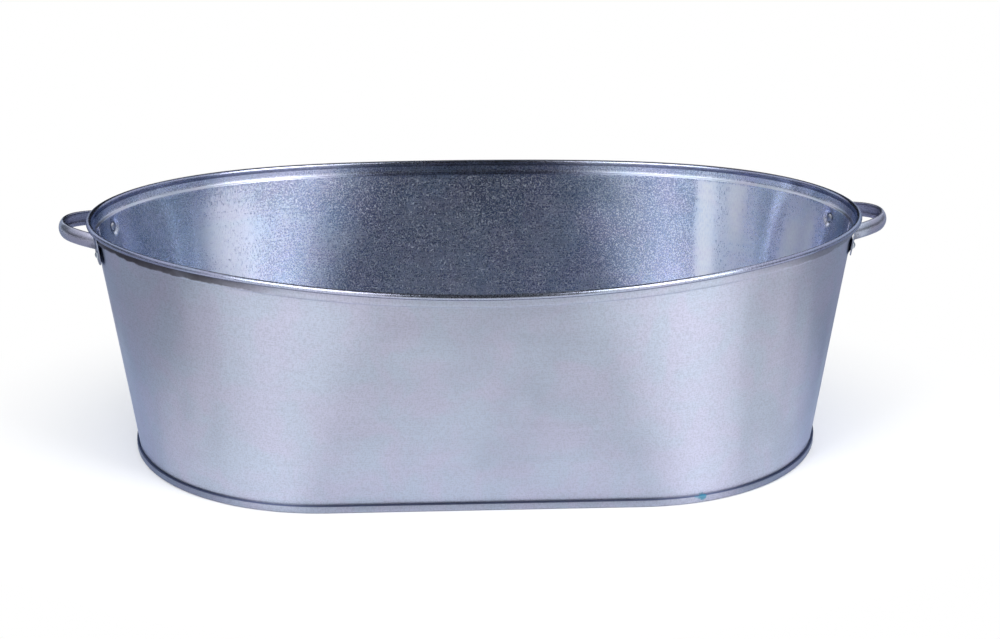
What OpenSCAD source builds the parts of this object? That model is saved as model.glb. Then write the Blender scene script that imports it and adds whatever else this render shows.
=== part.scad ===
// Galvanized oval wash tub, about 65 litres.
// Two half sheets make the flared wall. They lock together at both ends, roll over a wire
// at the rim and are double seamed to a bottom pan. A strap handle is riveted on at each end.
// Origin: centre of the base on the floor. +X runs along the length, +Z is up. Millimetres.

/* [Tub body] */
// Length over the rim
rim_length = 800; // [740:1:880]
// Width over the rim
rim_width = 490; // [440:1:540]
// Height of the rim's top at the middle of the long sides
rim_height = 234; // [200:1:280]
// How much higher the rim stands at the two ends
end_rise = 10.5; // [0:0.5:20]
// Length over the bottom seam
base_length = 724; // [680:1:740]
// Width over the bottom seam
base_width = 415; // [380:1:440]
// Thickness of the galvanized sheet
sheet = 0.7; // [0.5:0.05:1]
// Rim angle, counted from the end, where the round end meets the flatter side
side_angle = 74.5; // [65:0.5:82]

/* [Rim] */
// Diameter of the wire inside the rolled rim
wire_d = 4; // [3:0.1:6]
// Play between the wire and the sheet rolled over it
wire_gap = 0.15; // [0.12:0.01:0.3]
// Height of the stepped band below the middle of the rolled rim
collar_depth = 12; // [9:0.5:18]
// How far that band stands out from the wall
collar_step = 1.8; // [1:0.1:2.6]
// Height over which the band steps out
collar_slope = 1.5; // [1:0.1:3]
// How far the sheet wraps round the wire, in degrees
rim_wrap = 310; // [280:1:315]

/* [Bottom seam] */
// Height of the double seam round the base
seam_height = 7.5; // [6:0.1:12]
// Play between the layers of the double seam
seam_gap = 0.2; // [0.15:0.01:0.35]
// How far the floor of the pan is raised off the ground
floor_rise = 3; // [1.5:0.1:6]
// Width of the flat ring that the tub stands on, inside the wall
foot_ring = 4; // [2:0.5:10]
// Width of the slope from that ring up to the raised floor
floor_slope = 5; // [3:0.5:12]

/* [End seams] */
// Width of the lock seam that joins the half sheets
lock_width = 9; // [7:0.5:12]
// Play between the layers of the lock seam
lock_gap = 0.2; // [0.15:0.01:0.3]
// Gap between the butted sheets in the rim and in the bottom seam
butt_gap = 0.2; // [0.1:0.05:0.5]
// Clear height between the bottom seam and the lock seam
lock_clear = 4; // [3:0.5:10]

/* [Handles] */
// Distance between the two rivets of a handle
foot_span = 100; // [90:1:110]
// How far a handle's loop reaches out from the rim's edge
handle_reach = 29.5; // [27:0.5:40]
// Height of the strap
strap_height = 15.5; // [13:0.5:18]
// Clear height between the strap and the rolled rim above it
strap_drop = 2.3; // [2:0.1:6]
// How far the strap's outer face bulges
strap_bulge = 3; // [2:0.1:4]
// Thickness of the strap's metal
strap_sheet = 1.2; // [1:0.1:1.6]
// Depth of the strap from its outer face to its lower lip
strap_depth = 5.5; // [5:0.1:7]
// Height of the folded lip along the strap's lower edge
strap_lip = 4.5; // [3:0.1:6]
// Upward tilt of the loop, in degrees
loop_tilt = 6.5; // [0:0.5:10]
// Radius of the loop's front as a share of the rivets' distance
front_share = 0.42; // [0.38:0.01:0.46]
// Half angle that the front bend turns through
front_turn = 50; // [45:1:55]
// Radius of the gentler bend that follows it, as a share of the rivets' distance
side_share = 0.9; // [0.8:0.01:1.1]
// Length of the straight leg at its shortest corner
leg_length = 1.5; // [1:0.1:4]
// Width of a foot plate
foot_width = 20; // [16:0.5:24]
// Length of a foot plate below the strap
foot_drop = 15; // [13:0.5:18]
// Play between the foot plates and the tub
foot_gap = 0.25; // [0.15:0.01:0.4]

/* [Rivets] */
// Diameter of a rivet's shank
rivet_d = 4.8; // [4:0.1:5.4]
// Radial play round the shank
rivet_play = 0.1; // [0.05:0.01:0.2]
// Diameter of the round head outside
head_d = 7.6; // [7:0.1:8.4]
// Height of that head
head_height = 2.4; // [1.8:0.1:3]
// Diameter of the closed end inside the tub
tail_d = 8; // [7:0.1:9]
// Height of the closed end
tail_height = 1.2; // [0.8:0.1:1.8]
// Clear height between a rivet's head and the strap's lower edge
head_clear = 0.4; // [0.3:0.1:1]
// Width of the dimple in the wall behind a rivet
dimple_d = 20; // [18:0.5:22]
// Width of the dimple's flat bottom
dimple_flat_d = 11; // [10.5:0.5:13]
// Play under the rivet's head and end
head_gap = 0.05; // [0.02:0.01:0.1]

/* [Hidden] */
$fn = 64;
eps = 0.01;

zinc = [0.66, 0.69, 0.76];
bright_zinc = [0.74, 0.77, 0.83];
wire_grey = [0.55, 0.57, 0.6];

// Rolled rim: the middle of the wire is the line that the rim's ellipse follows
wire_r = wire_d / 2;
curl_r = wire_r + wire_gap;
rim_a = rim_length / 2 - curl_r - sheet;
rim_b = rim_width / 2 - curl_r - sheet;
rim_z = rim_height - curl_r - sheet;
wall_inset = curl_r + collar_step;
curl_steps = 10;
wire_sides = 12;

// Bottom seam: four layers of sheet outside the wall's outer face
seam_out = 3 * (seam_gap + sheet);
base_r = base_width / 2 - seam_out;
base_straight = (base_length - base_width) / 2;
hook_in = 2 * seam_gap + sheet;
hook_out = hook_in + sheet;
wall_foot = sheet + seam_gap;

// Lock seam: four layers, each one pitch further out than the last
lock_pitch = sheet + lock_gap;
lock_fold = lock_width / 2;
lock_lip = lock_fold - sheet - lock_gap;
lock_jog = 3;

// Plan of the tub

// Angle folded into the first quarter
function fold(th) = acos(abs(cos(th)));
function sign_of(v) = v < 0 ? -1 : 1;
function quarter(th, p) = [sign_of(cos(th)) * p.x, sign_of(sin(th)) * p.y];
function unit(v) = v / norm(v);
function mix(a, b, t) = a + (b - a) * t;

function rim_plan(th) = [rim_a * cos(th), rim_b * sin(th)];
function rim_normal(th) = unit([cos(th) / rim_a, sin(th) / rim_b]);

// The base is a stadium, a straight side between two half circles
function base_turn(f) = min(90, 90 * f / side_angle);
function base_quarter(f) = f <= side_angle
    ? [base_straight + base_r * cos(base_turn(f)), base_r * sin(base_turn(f))]
    : [base_straight * cos(f) / cos(side_angle), base_r];
function base_plan(th) = quarter(th, base_quarter(fold(th)));
function base_normal(th) = quarter(th, [cos(base_turn(fold(th))), sin(base_turn(fold(th)))]);

// The rim rises toward the two ends
function rim_level(th) = rim_z + end_rise * (1 - pow(sin(th), 4));

// A point of the wall at rim angle th: t runs from the base to the rim, out is the distance
// outward from there and up a further height
function shell(th, t, out, up) =
    let (p = mix(base_plan(th), rim_plan(th), t),
        n = unit(mix(base_normal(th), rim_normal(th), t)),
        q = p + n * out)
    [q.x, q.y, t * rim_level(th) + up];

// The wall's outer face is straight from the bottom seam to the collar
collar_t = 1 - collar_depth / rim_z;
band_t = 1 - (collar_depth - collar_slope) / rim_z;
wall_start_z = seam_height + 1;
lock_low = lock_clear / (rim_z - wall_start_z);
lock_high = 1 - 2 / (rim_z - wall_start_z);
function wall_face(th, s, out) =
    mix(shell(th, 0, out, wall_start_z), shell(th, collar_t, out - wall_inset, 0), s);

// One pair of points, on the sheet's outer and inner face, for each row of the wall's profile,
// from the tip of the bottom hook to the end of the curl. jog moves the middle rows outward.
function profile(th, jog) = concat(
    [[shell(th, 0, hook_in, seam_height - sheet - seam_gap),
        shell(th, 0, hook_out, seam_height - sheet - seam_gap)],
    [shell(th, 0, hook_in, wall_foot + sheet), shell(th, 0, hook_out, wall_foot)],
    [shell(th, 0, 0, wall_foot + sheet), shell(th, 0, -sheet, wall_foot)],
    [wall_face(th, 0, 0), wall_face(th, 0, -sheet)],
    [wall_face(th, lock_low, jog), wall_face(th, lock_low, jog - sheet)],
    [wall_face(th, lock_high, jog), wall_face(th, lock_high, jog - sheet)],
    [wall_face(th, 1, 0), wall_face(th, 1, -sheet)],
    [shell(th, band_t, -curl_r, 0), shell(th, band_t, -curl_r - sheet, 0)]],
    [for (k = [0 : curl_steps])
        let (a = 180 - rim_wrap * k / curl_steps)
        [shell(th, 1, curl_r * cos(a), curl_r * sin(a)),
            shell(th, 1, (curl_r + sheet) * cos(a), (curl_r + sheet) * sin(a))]]);
low_row = 4;
high_row = 5;
row_count = 8 + curl_steps + 1;

// Rim angle at a distance across the tub from its end
function end_angle(y) = asin(y / rim_b);

// A pair of points of the lock seam on one row, at distances y_out and y_in from the end
function lock_pair(flip, s, y_out, u_out, y_in, u_in) =
    let (a = end_angle(y_out), b = end_angle(y_in))
    [wall_face(flip ? 180 - a : a, s, u_out), wall_face(flip ? 180 - b : b, s, u_in)];
function lock_station(flip, y_out, u_out, y_in, u_in) =
    [for (s = [lock_low, lock_high]) lock_pair(flip, s, y_out, u_out, y_in, u_in)];

// Stations along half of the rim, with the steps of the outer layer at the far end
station_step = 3;
half_stations = concat(
    [end_angle(butt_gap / 2)],
    [for (th = [station_step : station_step : 180 - station_step]) th],
    [180 - end_angle(lock_fold + lock_gap + lock_jog), 180 - end_angle(lock_fold + lock_gap),
        180 - end_angle(butt_gap / 2)]);
station_count = len(half_stations);
function jog_at(i) = i >= station_count - 2 ? 3 * lock_pitch : 0;

// The inner hook at the near end and the outer hook at the far end
near_hook = [
    lock_station(false, -lock_fold + sheet, 0, -lock_fold, -sheet),
    lock_station(false, -lock_fold + sheet, 2 * lock_pitch - sheet, -lock_fold, 2 * lock_pitch),
    lock_station(false, lock_lip, 2 * lock_pitch - sheet, lock_lip, 2 * lock_pitch)];
far_hook = [
    lock_station(true, -lock_fold, 3 * lock_pitch, -lock_fold + sheet, 3 * lock_pitch - sheet),
    lock_station(true, -lock_fold, lock_pitch - sheet, -lock_fold + sheet, lock_pitch),
    lock_station(true, lock_lip, lock_pitch - sheet, lock_lip, lock_pitch)];

// Half of the wall as one closed sheet
module half_wall() {
    grid = [for (i = [0 : station_count - 1]) profile(half_stations[i], jog_at(i))];
    body_points = [for (station = grid) for (pair = station) for (p = pair) p];
    near_points = [for (station = near_hook) for (pair = station) for (p = pair) p];
    far_points = [for (station = far_hook) for (pair = station) for (p = pair) p];
    near_base = len(body_points);
    far_base = near_base + len(near_points);

    function at(i, row, side) = (i * row_count + row) * 2 + side;
    // Hook points, where hook station 0 is the last full station
    function near_at(k, row, side) =
        k == 0 ? at(0, low_row + row, side) : near_base + ((k - 1) * 2 + row) * 2 + side;
    function far_at(k, row, side) =
        k == 0 ? at(station_count - 1, low_row + row, side) : far_base + ((k - 1) * 2 + row) * 2 + side;
    function quad(a, b, c, d) = [[a, b, c], [a, c, d]];

    last = station_count - 1;
    top = row_count - 1;
    skins = [for (i = [0 : last - 1]) for (r = [0 : top - 1]) each concat(
        quad(at(i, r, 0), at(i, r + 1, 0), at(i + 1, r + 1, 0), at(i + 1, r, 0)),
        quad(at(i, r, 1), at(i + 1, r, 1), at(i + 1, r + 1, 1), at(i, r + 1, 1)))];
    edges = [for (i = [0 : last - 1]) each concat(
        quad(at(i, 0, 1), at(i, 0, 0), at(i + 1, 0, 0), at(i + 1, 0, 1)),
        quad(at(i, top, 0), at(i, top, 1), at(i + 1, top, 1), at(i + 1, top, 0)))];
    butts = [for (r = [0 : top - 1]) if (r != low_row) each concat(
        quad(at(0, r, 0), at(0, r, 1), at(0, r + 1, 1), at(0, r + 1, 0)),
        quad(at(last, r, 1), at(last, r, 0), at(last, r + 1, 0), at(last, r + 1, 1)))];
    near_faces = [for (k = [0 : 2]) each concat(
        quad(near_at(k + 1, 0, 0), near_at(k + 1, 1, 0), near_at(k, 1, 0), near_at(k, 0, 0)),
        quad(near_at(k + 1, 0, 1), near_at(k, 0, 1), near_at(k, 1, 1), near_at(k + 1, 1, 1)),
        quad(near_at(k + 1, 0, 1), near_at(k + 1, 0, 0), near_at(k, 0, 0), near_at(k, 0, 1)),
        quad(near_at(k + 1, 1, 0), near_at(k + 1, 1, 1), near_at(k, 1, 1), near_at(k, 1, 0)))];
    far_faces = [for (k = [0 : 2]) each concat(
        quad(far_at(k, 0, 0), far_at(k, 1, 0), far_at(k + 1, 1, 0), far_at(k + 1, 0, 0)),
        quad(far_at(k, 0, 1), far_at(k + 1, 0, 1), far_at(k + 1, 1, 1), far_at(k, 1, 1)),
        quad(far_at(k, 0, 1), far_at(k, 0, 0), far_at(k + 1, 0, 0), far_at(k + 1, 0, 1)),
        quad(far_at(k, 1, 0), far_at(k, 1, 1), far_at(k + 1, 1, 1), far_at(k + 1, 1, 0)))];
    ends = concat(
        quad(near_at(3, 0, 0), near_at(3, 0, 1), near_at(3, 1, 1), near_at(3, 1, 0)),
        quad(far_at(3, 0, 1), far_at(3, 0, 0), far_at(3, 1, 0), far_at(3, 1, 1)));
    polyhedron(concat(body_points, near_points, far_points),
        concat(skins, edges, butts, near_faces, far_faces, ends), convexity = 12);
}

// Where a rivet passes through the wall: the frame's X axis points out of the wall there
foot_th = asin(foot_span / 2 / rim_b);
strap_level = rim_z + end_rise - curl_r - sheet - strap_drop - strap_height / 2;
rivet_drop = head_d / 2 + head_clear;
rivet_z = strap_level - strap_height / 2 - rivet_drop;
foot_low = wall_face(foot_th, 0, 0);
foot_high = wall_face(foot_th, 1, 0);
rivet_s = (rivet_z - foot_low.z) / (foot_high.z - foot_low.z);
rivet_point = mix(foot_low, foot_high, rivet_s);
foot_normal = unit(mix(base_normal(foot_th), rim_normal(foot_th), collar_t * rivet_s));
foot_yaw = atan2(foot_normal.y, foot_normal.x);
wall_run = foot_high - foot_low;
foot_lean = atan2([wall_run.x, wall_run.y] * foot_normal, wall_run.z);
foot_stand = collar_step + foot_gap;
module at_right_back_foot() {
    translate(rivet_point) rotate([0, foot_lean, foot_yaw]) children();
}

// A pressed dimple carries the wall out to the foot plate, and the rivet's hole is in it
dimple_depth = foot_stand - foot_gap;
dimple_side = (dimple_d - dimple_flat_d) / 2 / dimple_depth;
dimple_root = 0.6;
module dimple_cone(low, high) {
    rotate([0, 90, 0]) translate([0, 0, low]) cylinder(h = high - low,
        r1 = dimple_flat_d / 2 + dimple_side * (high - low), r2 = dimple_flat_d / 2);
}
module pressed_sheet() {
    difference() {
        union() {
            children();
            at_both_feet() dimple_cone(-dimple_root, dimple_depth);
        }
        at_both_feet() {
            dimple_cone(-sheet - dimple_root, dimple_depth - sheet);
            along_x(-dimple_root - sheet, dimple_depth + sheet, rivet_d / 2 + rivet_play);
        }
    }
}
module along_x(low, high, r) {
    rotate([0, 90, 0]) translate([0, 0, low]) cylinder(h = high - low, r = r);
}
// The half wall at the back has a foot at each end
module at_both_feet() {
    at_right_back_foot() children();
    mirror([1, 0, 0]) at_right_back_foot() children();
}

module back_wall() {
    color(zinc) pressed_sheet() half_wall();
}

module front_wall() {
    color(zinc) rotate([0, 0, 180]) pressed_sheet() half_wall();
}

// Bottom pan

// Section of the pan from its middle line to the outside of the double seam
floor_edge = base_r - sheet - foot_ring - floor_slope;
ring_edge = base_r - sheet - foot_ring;
function pan_section() = [
    [0, floor_rise],
    [floor_edge, floor_rise],
    [ring_edge, 0],
    [base_r + seam_out, 0],
    [base_r + seam_out, seam_height],
    [base_r + seam_gap, seam_height],
    [base_r + seam_gap, wall_foot + sheet + seam_gap],
    [base_r + seam_gap + sheet, wall_foot + sheet + seam_gap],
    [base_r + seam_gap + sheet, seam_height - sheet],
    [base_r + seam_out - sheet, seam_height - sheet],
    [base_r + seam_out - sheet, sheet],
    [ring_edge, sheet],
    [floor_edge, floor_rise + sheet],
    [0, floor_rise + sheet]];

module bottom_pan() {
    color(zinc) union() {
        for (side = [0, 180]) rotate([0, 0, side]) {
            translate([base_straight, 0, 0]) rotate([0, 0, -90])
                rotate_extrude(angle = 180, $fn = 180) polygon(pan_section());
            translate([-base_straight, 0, 0]) rotate([90, 0, 90])
                linear_extrude(2 * base_straight) polygon(pan_section());
        }
    }
}

// Rim wire

module rim_wire() {
    ring = [for (turn = [0, 180]) for (th = half_stations) th + turn];
    count = len(ring);
    points = [for (th = ring) for (k = [0 : wire_sides - 1])
        let (a = 360 * k / wire_sides)
        shell(th, 1, wire_r * cos(a), wire_r * sin(a))];
    function at(i, k) = (i % count) * wire_sides + k % wire_sides;
    faces = [for (i = [0 : count - 1]) for (k = [0 : wire_sides - 1]) each [
        [at(i, k), at(i, k + 1), at(i + 1, k + 1)],
        [at(i, k), at(i + 1, k + 1), at(i + 1, k)]]];
    color(wire_grey) polyhedron(points, faces, convexity = 6);
}

// Handles

// The strap's section as [outward, up] from the crown of its outer face
bulge_r = (strap_height * strap_height / 4 + strap_bulge * strap_bulge) / (2 * strap_bulge);
strap_half = strap_height / 2;
bulge_steps = 8;
function bulge_x(y) = sqrt(bulge_r * bulge_r - y * y) - bulge_r;
strap_section = concat(
    [for (k = [0 : bulge_steps]) let (y = strap_half * (2 * k / bulge_steps - 1)) [bulge_x(y), y]],
    [[-strap_depth, strap_half], [-strap_depth, strap_half - strap_sheet]],
    [for (k = [0 : bulge_steps])
        let (y = (strap_half - strap_sheet) * (1 - 2 * k / bulge_steps)) [bulge_x(y) - strap_sheet, y]],
    [[-strap_depth + strap_sheet, -strap_half + strap_sheet],
        [-strap_depth + strap_sheet, -strap_half + strap_lip],
        [-strap_depth, -strap_half + strap_lip],
        [-strap_depth, -strap_half]]);

// The loop's crown line in plan: a front bend, a gentler bend on each side, and straight legs
loop_tip = rim_length / 2 + handle_reach;
front_radius = front_share * foot_span;
side_radius = side_share * foot_span;
front_centre = [loop_tip - front_radius, 0];
side_centre = front_centre - (side_radius - front_radius) * [cos(front_turn), sin(front_turn)];

// The bend ends where the strap's inner edge comes close to the foot plate's middle plane
foot_axis = [cos(foot_lean) * cos(foot_yaw), cos(foot_lean) * sin(foot_yaw), -sin(foot_lean)];
plate_middle = (rivet_point * foot_axis) + foot_stand + strap_sheet / 2;
plate_reach = (plate_middle + sin(foot_lean) * strap_level) / cos(foot_lean);
leg_room = leg_length + strap_half * (sin(loop_tilt) + tan(foot_lean));
leg_turn = foot_yaw + acos((plate_reach + leg_room - side_centre * heading(foot_yaw))
    / (side_radius - strap_depth));
front_steps = 8;
side_steps = 3;
function heading(a) = [cos(a), sin(a)];
half_line = concat(
    [for (k = [0 : front_steps]) let (a = front_turn * k / front_steps)
        [front_centre + front_radius * heading(a), a]],
    [for (k = [1 : side_steps]) let (a = front_turn + (leg_turn - front_turn) * k / side_steps)
        [side_centre + side_radius * heading(a), a]]);

// The loop tilts up about the line where it leaves the wall
function tilted(x, y, z) = [
    front_centre.x + (x - front_centre.x) * cos(loop_tilt) - z * sin(loop_tilt),
    y,
    strap_level + (x - front_centre.x) * sin(loop_tilt) + z * cos(loop_tilt)];
function strap_ring(line) = [for (q = strap_section)
    let (p = line[0] + q.x * heading(line[1])) tilted(p.x, p.y, q.y)];
arc_rings = [for (line = half_line) strap_ring(line)];

// The legs run straight on and end inside the foot plates
leg_run = tilted(-sin(leg_turn), cos(leg_turn), 0) - tilted(0, 0, 0);
leg_end = [for (p = arc_rings[len(arc_rings) - 1])
    p + leg_run * (plate_middle - p * foot_axis) / (leg_run * foot_axis)];
half_rings = concat(arc_rings, [leg_end]);
function mirrored(ring) = [for (p = ring) [p.x, -p.y, p.z]];
loop_rings = concat(
    [for (k = [len(half_rings) - 1 : -1 : 1]) mirrored(half_rings[k])],
    half_rings);

module loop() {
    stations = len(loop_rings);
    sides = len(strap_section);
    function at(i, k) = i * sides + k % sides;
    faces = concat(
        [[for (k = [sides - 1 : -1 : 0]) at(0, k)],
            [for (k = [0 : sides - 1]) at(stations - 1, k)]],
        [for (i = [0 : stations - 2]) for (k = [0 : sides - 1]) each [
            [at(i, k), at(i + 1, k + 1), at(i + 1, k)],
            [at(i, k), at(i, k + 1), at(i + 1, k + 1)]]]);
    polyhedron([for (ring = loop_rings) each ring], faces, convexity = 6);
}

// Foot plate in the frame of its rivet. Its top edge stands a little above the strap's
foot_round = foot_width / 2;
foot_up = [sin(foot_lean) * cos(foot_yaw), sin(foot_lean) * sin(foot_yaw), cos(foot_lean)];
foot_rim = 0.8;
foot_top = max([for (p = leg_end) (p - rivet_point) * foot_up]) + foot_rim;
foot_tip = foot_drop - rivet_drop;
module foot_plate() {
    rotate([0, 90, 0]) translate([0, 0, foot_stand]) linear_extrude(strap_sheet) difference() {
        union() {
            translate([foot_tip - foot_round, 0]) circle(foot_round);
            translate([-foot_top, -foot_round])
                square([foot_top + foot_tip - foot_round, foot_width]);
        }
        circle(rivet_d / 2 + rivet_play);
    }
}
module strap_handle() {
    loop();
    for (m = [0, 1]) mirror([0, m, 0]) at_right_back_foot() foot_plate();
}

module right_handle() {
    color(bright_zinc) strap_handle();
}

module left_handle() {
    color(bright_zinc) rotate([0, 0, 180]) strap_handle();
}

// Rivets

// A round cap of the given width and height, flat side at 0, pointing along +X
module round_cap(width, height) {
    r = (width * width / 4 + height * height) / (2 * height);
    rotate([0, 90, 0]) intersection() {
        translate([0, 0, height - r]) sphere(r);
        cylinder(h = height + 1, r = width / 2 + 1);
    }
}
head_base = foot_stand + strap_sheet + head_gap;
tail_base = dimple_depth - sheet - head_gap;
module rivet() {
    along_x(tail_base - eps, head_base + eps, rivet_d / 2);
    translate([head_base, 0, 0]) round_cap(head_d, head_height);
    translate([tail_base, 0, 0]) mirror([1, 0, 0]) round_cap(tail_d, tail_height);
}

module right_back_rivet() {
    color(bright_zinc) at_right_back_foot() rivet();
}
module right_front_rivet() {
    color(bright_zinc) mirror([0, 1, 0]) at_right_back_foot() rivet();
}
module left_back_rivet() {
    color(bright_zinc) mirror([1, 0, 0]) at_right_back_foot() rivet();
}
module left_front_rivet() {
    color(bright_zinc) rotate([0, 0, 180]) at_right_back_foot() rivet();
}

front_wall();
back_wall();
bottom_pan();
rim_wire();
left_handle();
right_handle();
left_front_rivet();
left_back_rivet();
right_front_rivet();
right_back_rivet();
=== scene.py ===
"""Looks for the galvanized oval tub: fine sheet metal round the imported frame, zinc finishes and a studio."""

import math
from functools import reduce
from types import SimpleNamespace

import bmesh
import bpy
import numpy as np
from mathutils import Matrix, Vector


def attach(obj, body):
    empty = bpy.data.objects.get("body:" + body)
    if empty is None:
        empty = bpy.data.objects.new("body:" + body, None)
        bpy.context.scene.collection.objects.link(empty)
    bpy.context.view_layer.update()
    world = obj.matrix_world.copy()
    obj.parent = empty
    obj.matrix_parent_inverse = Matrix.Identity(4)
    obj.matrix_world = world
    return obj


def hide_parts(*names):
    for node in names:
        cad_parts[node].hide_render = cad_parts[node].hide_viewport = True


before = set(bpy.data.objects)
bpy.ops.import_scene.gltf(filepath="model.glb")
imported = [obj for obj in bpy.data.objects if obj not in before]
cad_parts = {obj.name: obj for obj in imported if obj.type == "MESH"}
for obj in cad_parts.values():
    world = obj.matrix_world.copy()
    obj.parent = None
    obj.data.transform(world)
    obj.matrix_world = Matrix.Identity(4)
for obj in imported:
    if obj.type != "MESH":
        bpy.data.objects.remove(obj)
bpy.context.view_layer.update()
MM = 0.001

# Sizes in millimetres, as in the part's source
SHEET = 0.7
CURL_R = 2.15
RIM_A = 397.15
RIM_B = 242.15
RIM_Z = 231.15
END_RISE = 10.5
COLLAR_DEPTH = 12.0
COLLAR_SLOPE = 1.5
COLLAR_STEP = 1.8
WALL_INSET = CURL_R + COLLAR_STEP
RIM_WRAP = 310.0
SIDE_ANGLE = math.radians(74.5)
BASE_R = 204.8
BASE_STRAIGHT = 154.5
SEAM_HEIGHT = 7.5
SEAM_GAP = 0.2
SEAM_OUT = 2.7
HOOK_IN = 2 * SEAM_GAP + SHEET
WALL_FOOT = SHEET + SEAM_GAP
WALL_START_Z = SEAM_HEIGHT + 1
FLOOR_RISE = 3.0
FLOOR_BORDER = 6
FOOT_RING = 4.0
FLOOR_SLOPE = 5.0
BUTT_GAP = 0.2
LOCK_PITCH = 0.9
LOCK_FOLD = 4.5
LOCK_LIP = 3.6
LOCK_JOG = 3.0
COLLAR_T = 1 - COLLAR_DEPTH / RIM_Z
BAND_T = 1 - (COLLAR_DEPTH - COLLAR_SLOPE) / RIM_Z
LOCK_LOW = 4 / (RIM_Z - WALL_START_Z)
LOCK_HIGH = 1 - 2 / (RIM_Z - WALL_START_Z)

# Handles and rivets
FOOT_SPAN = 100.0
HANDLE_REACH = 29.5
STRAP_HEIGHT = 15.5
STRAP_DROP = 2.3
STRAP_BULGE = 3.0
STRAP_SHEET = 1.2
STRAP_DEPTH = 5.5
STRAP_LIP = 4.5
LOOP_TILT = math.radians(6.5)
FRONT_RADIUS = 42.0
FRONT_TURN = math.radians(50)
SIDE_RADIUS = 90.0
LEG_LENGTH = 1.5
FOOT_WIDTH = 20.0
FOOT_DROP = 15.0
FOOT_RIM = 0.8
FOOT_GAP = 0.25
RIVET_D = 4.8
HEAD_D = 7.6
HEAD_HEIGHT = 2.4
TAIL_D = 8.0
TAIL_HEIGHT = 1.2
HEAD_GAP = 0.05
HEAD_CLEAR = 0.4
DIMPLE_D = 20.0
DIMPLE_FLAT_D = 11.0

# A piece is drawn once, and its fellow at the other end or side is the same one turned
AS_DRAWN = (1, 1, 1)
HALF_TURN = (-1, -1, 1)
MIRRORED = (1, -1, 1)


# Geometry of the shell


def unit(v):
    return v / np.linalg.norm(v, axis=-1, keepdims=True)


def direction(angle):
    return np.array([math.cos(angle), math.sin(angle)])


def smooth(x):
    x = np.clip(x, 0, 1)
    return x * x * (3 - 2 * x)


def rim_plan(th):
    return np.stack([RIM_A * np.cos(th), RIM_B * np.sin(th)], -1)


def rim_normal(th):
    return unit(np.stack([np.cos(th) / RIM_A, np.sin(th) / RIM_B], -1))


def base_turn(th):
    """How far the rim angle has turned from the nearer end, and the base's normal from there."""
    fold = np.arccos(np.clip(np.abs(np.cos(th)), 0, 1))
    return fold, np.minimum(math.pi / 2, math.pi / 2 * fold / SIDE_ANGLE)


def signs(th):
    return np.stack([np.where(np.cos(th) < 0, -1, 1), np.where(np.sin(th) < 0, -1, 1)], -1)


def base_plan(th):
    """The base is a stadium, a straight side between two half circles."""
    fold, turn = base_turn(th)
    x = np.where(fold <= SIDE_ANGLE, BASE_STRAIGHT + BASE_R * np.cos(turn),
                 BASE_STRAIGHT * np.cos(fold) / math.cos(SIDE_ANGLE))
    y = np.where(fold <= SIDE_ANGLE, BASE_R * np.sin(turn), BASE_R)
    return np.stack([x, y], -1) * signs(th)


def base_normal(th):
    turn = base_turn(th)[1]
    return np.stack([np.cos(turn), np.sin(turn)], -1) * signs(th)


def wall_normal(th, share):
    """The normal in plan at a share of the way from the base to the rim."""
    return unit((1 - share) * base_normal(th) + share * rim_normal(th))


def rim_level(th):
    return RIM_Z + END_RISE * (1 - np.sin(th) ** 4)


def shell(th, t, out, up=0.0):
    """A point of the wall: t runs from the base to the rim, out is the distance outward from there."""
    th, t, out, up = np.broadcast_arrays(*[np.asarray(v, float) for v in (th, t, out, up)])
    share = t[..., None]
    plan = (1 - share) * base_plan(th) + share * rim_plan(th)
    plan = plan + wall_normal(th, share) * out[..., None]
    return np.concatenate([plan, (t * rim_level(th) + up)[..., None]], -1)


def wall_face(th, s, out):
    """The wall's outer face, straight from the bottom seam to the collar."""
    s = np.asarray(s, float)[..., None]
    low = shell(th, 0, out, WALL_START_Z)
    high = shell(th, COLLAR_T, np.asarray(out) - WALL_INSET)
    return (1 - s) * low + s * high


def end_angle(y):
    """The rim angle at a distance to the side of the tub's end."""
    return np.arcsin(np.asarray(y, float) / RIM_B)


# The frame of the rivet at the right-hand back foot: its X axis points out of the wall

STRAP_HALF = STRAP_HEIGHT / 2
STRAP_LEVEL = RIM_Z + END_RISE - CURL_R - SHEET - STRAP_DROP - STRAP_HALF
RIVET_DROP = HEAD_D / 2 + HEAD_CLEAR
RIVET_Z = STRAP_LEVEL - STRAP_HALF - RIVET_DROP
FOOT_TH = math.asin(FOOT_SPAN / 2 / RIM_B)
FOOT_STAND = COLLAR_STEP + FOOT_GAP


def rivet_place():
    """The rivet's point on the wall, and the yaw and lean of the wall there."""
    low, high = wall_face(FOOT_TH, 0, 0), wall_face(FOOT_TH, 1, 0)
    s = (RIVET_Z - low[2]) / (high[2] - low[2])
    normal = wall_normal(FOOT_TH, COLLAR_T * s)
    yaw = math.atan2(normal[1], normal[0])
    lean = math.atan2(float((high - low)[:2] @ normal), float((high - low)[2]))
    return low + (high - low) * s, yaw, lean


RIVET_POINT, FOOT_YAW, FOOT_LEAN = rivet_place()
FOOT_FRAME = np.array(Matrix.Rotation(FOOT_YAW, 3, "Z") @ Matrix.Rotation(FOOT_LEAN, 3, "Y"))


def from_foot(points):
    """Points in the rivet's frame as points of the tub."""
    return np.asarray(points, float) @ FOOT_FRAME.T + RIVET_POINT


# Mesh helpers

NO_RIM = 1000.0
SHARP_ANGLE = math.radians(42)
WALL_MERGE = 0.02
FINE_MERGE = 0.004


def add_object(name, data):
    obj = bpy.data.objects.new(name, data)
    bpy.context.scene.collection.objects.link(obj)
    return obj


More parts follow.
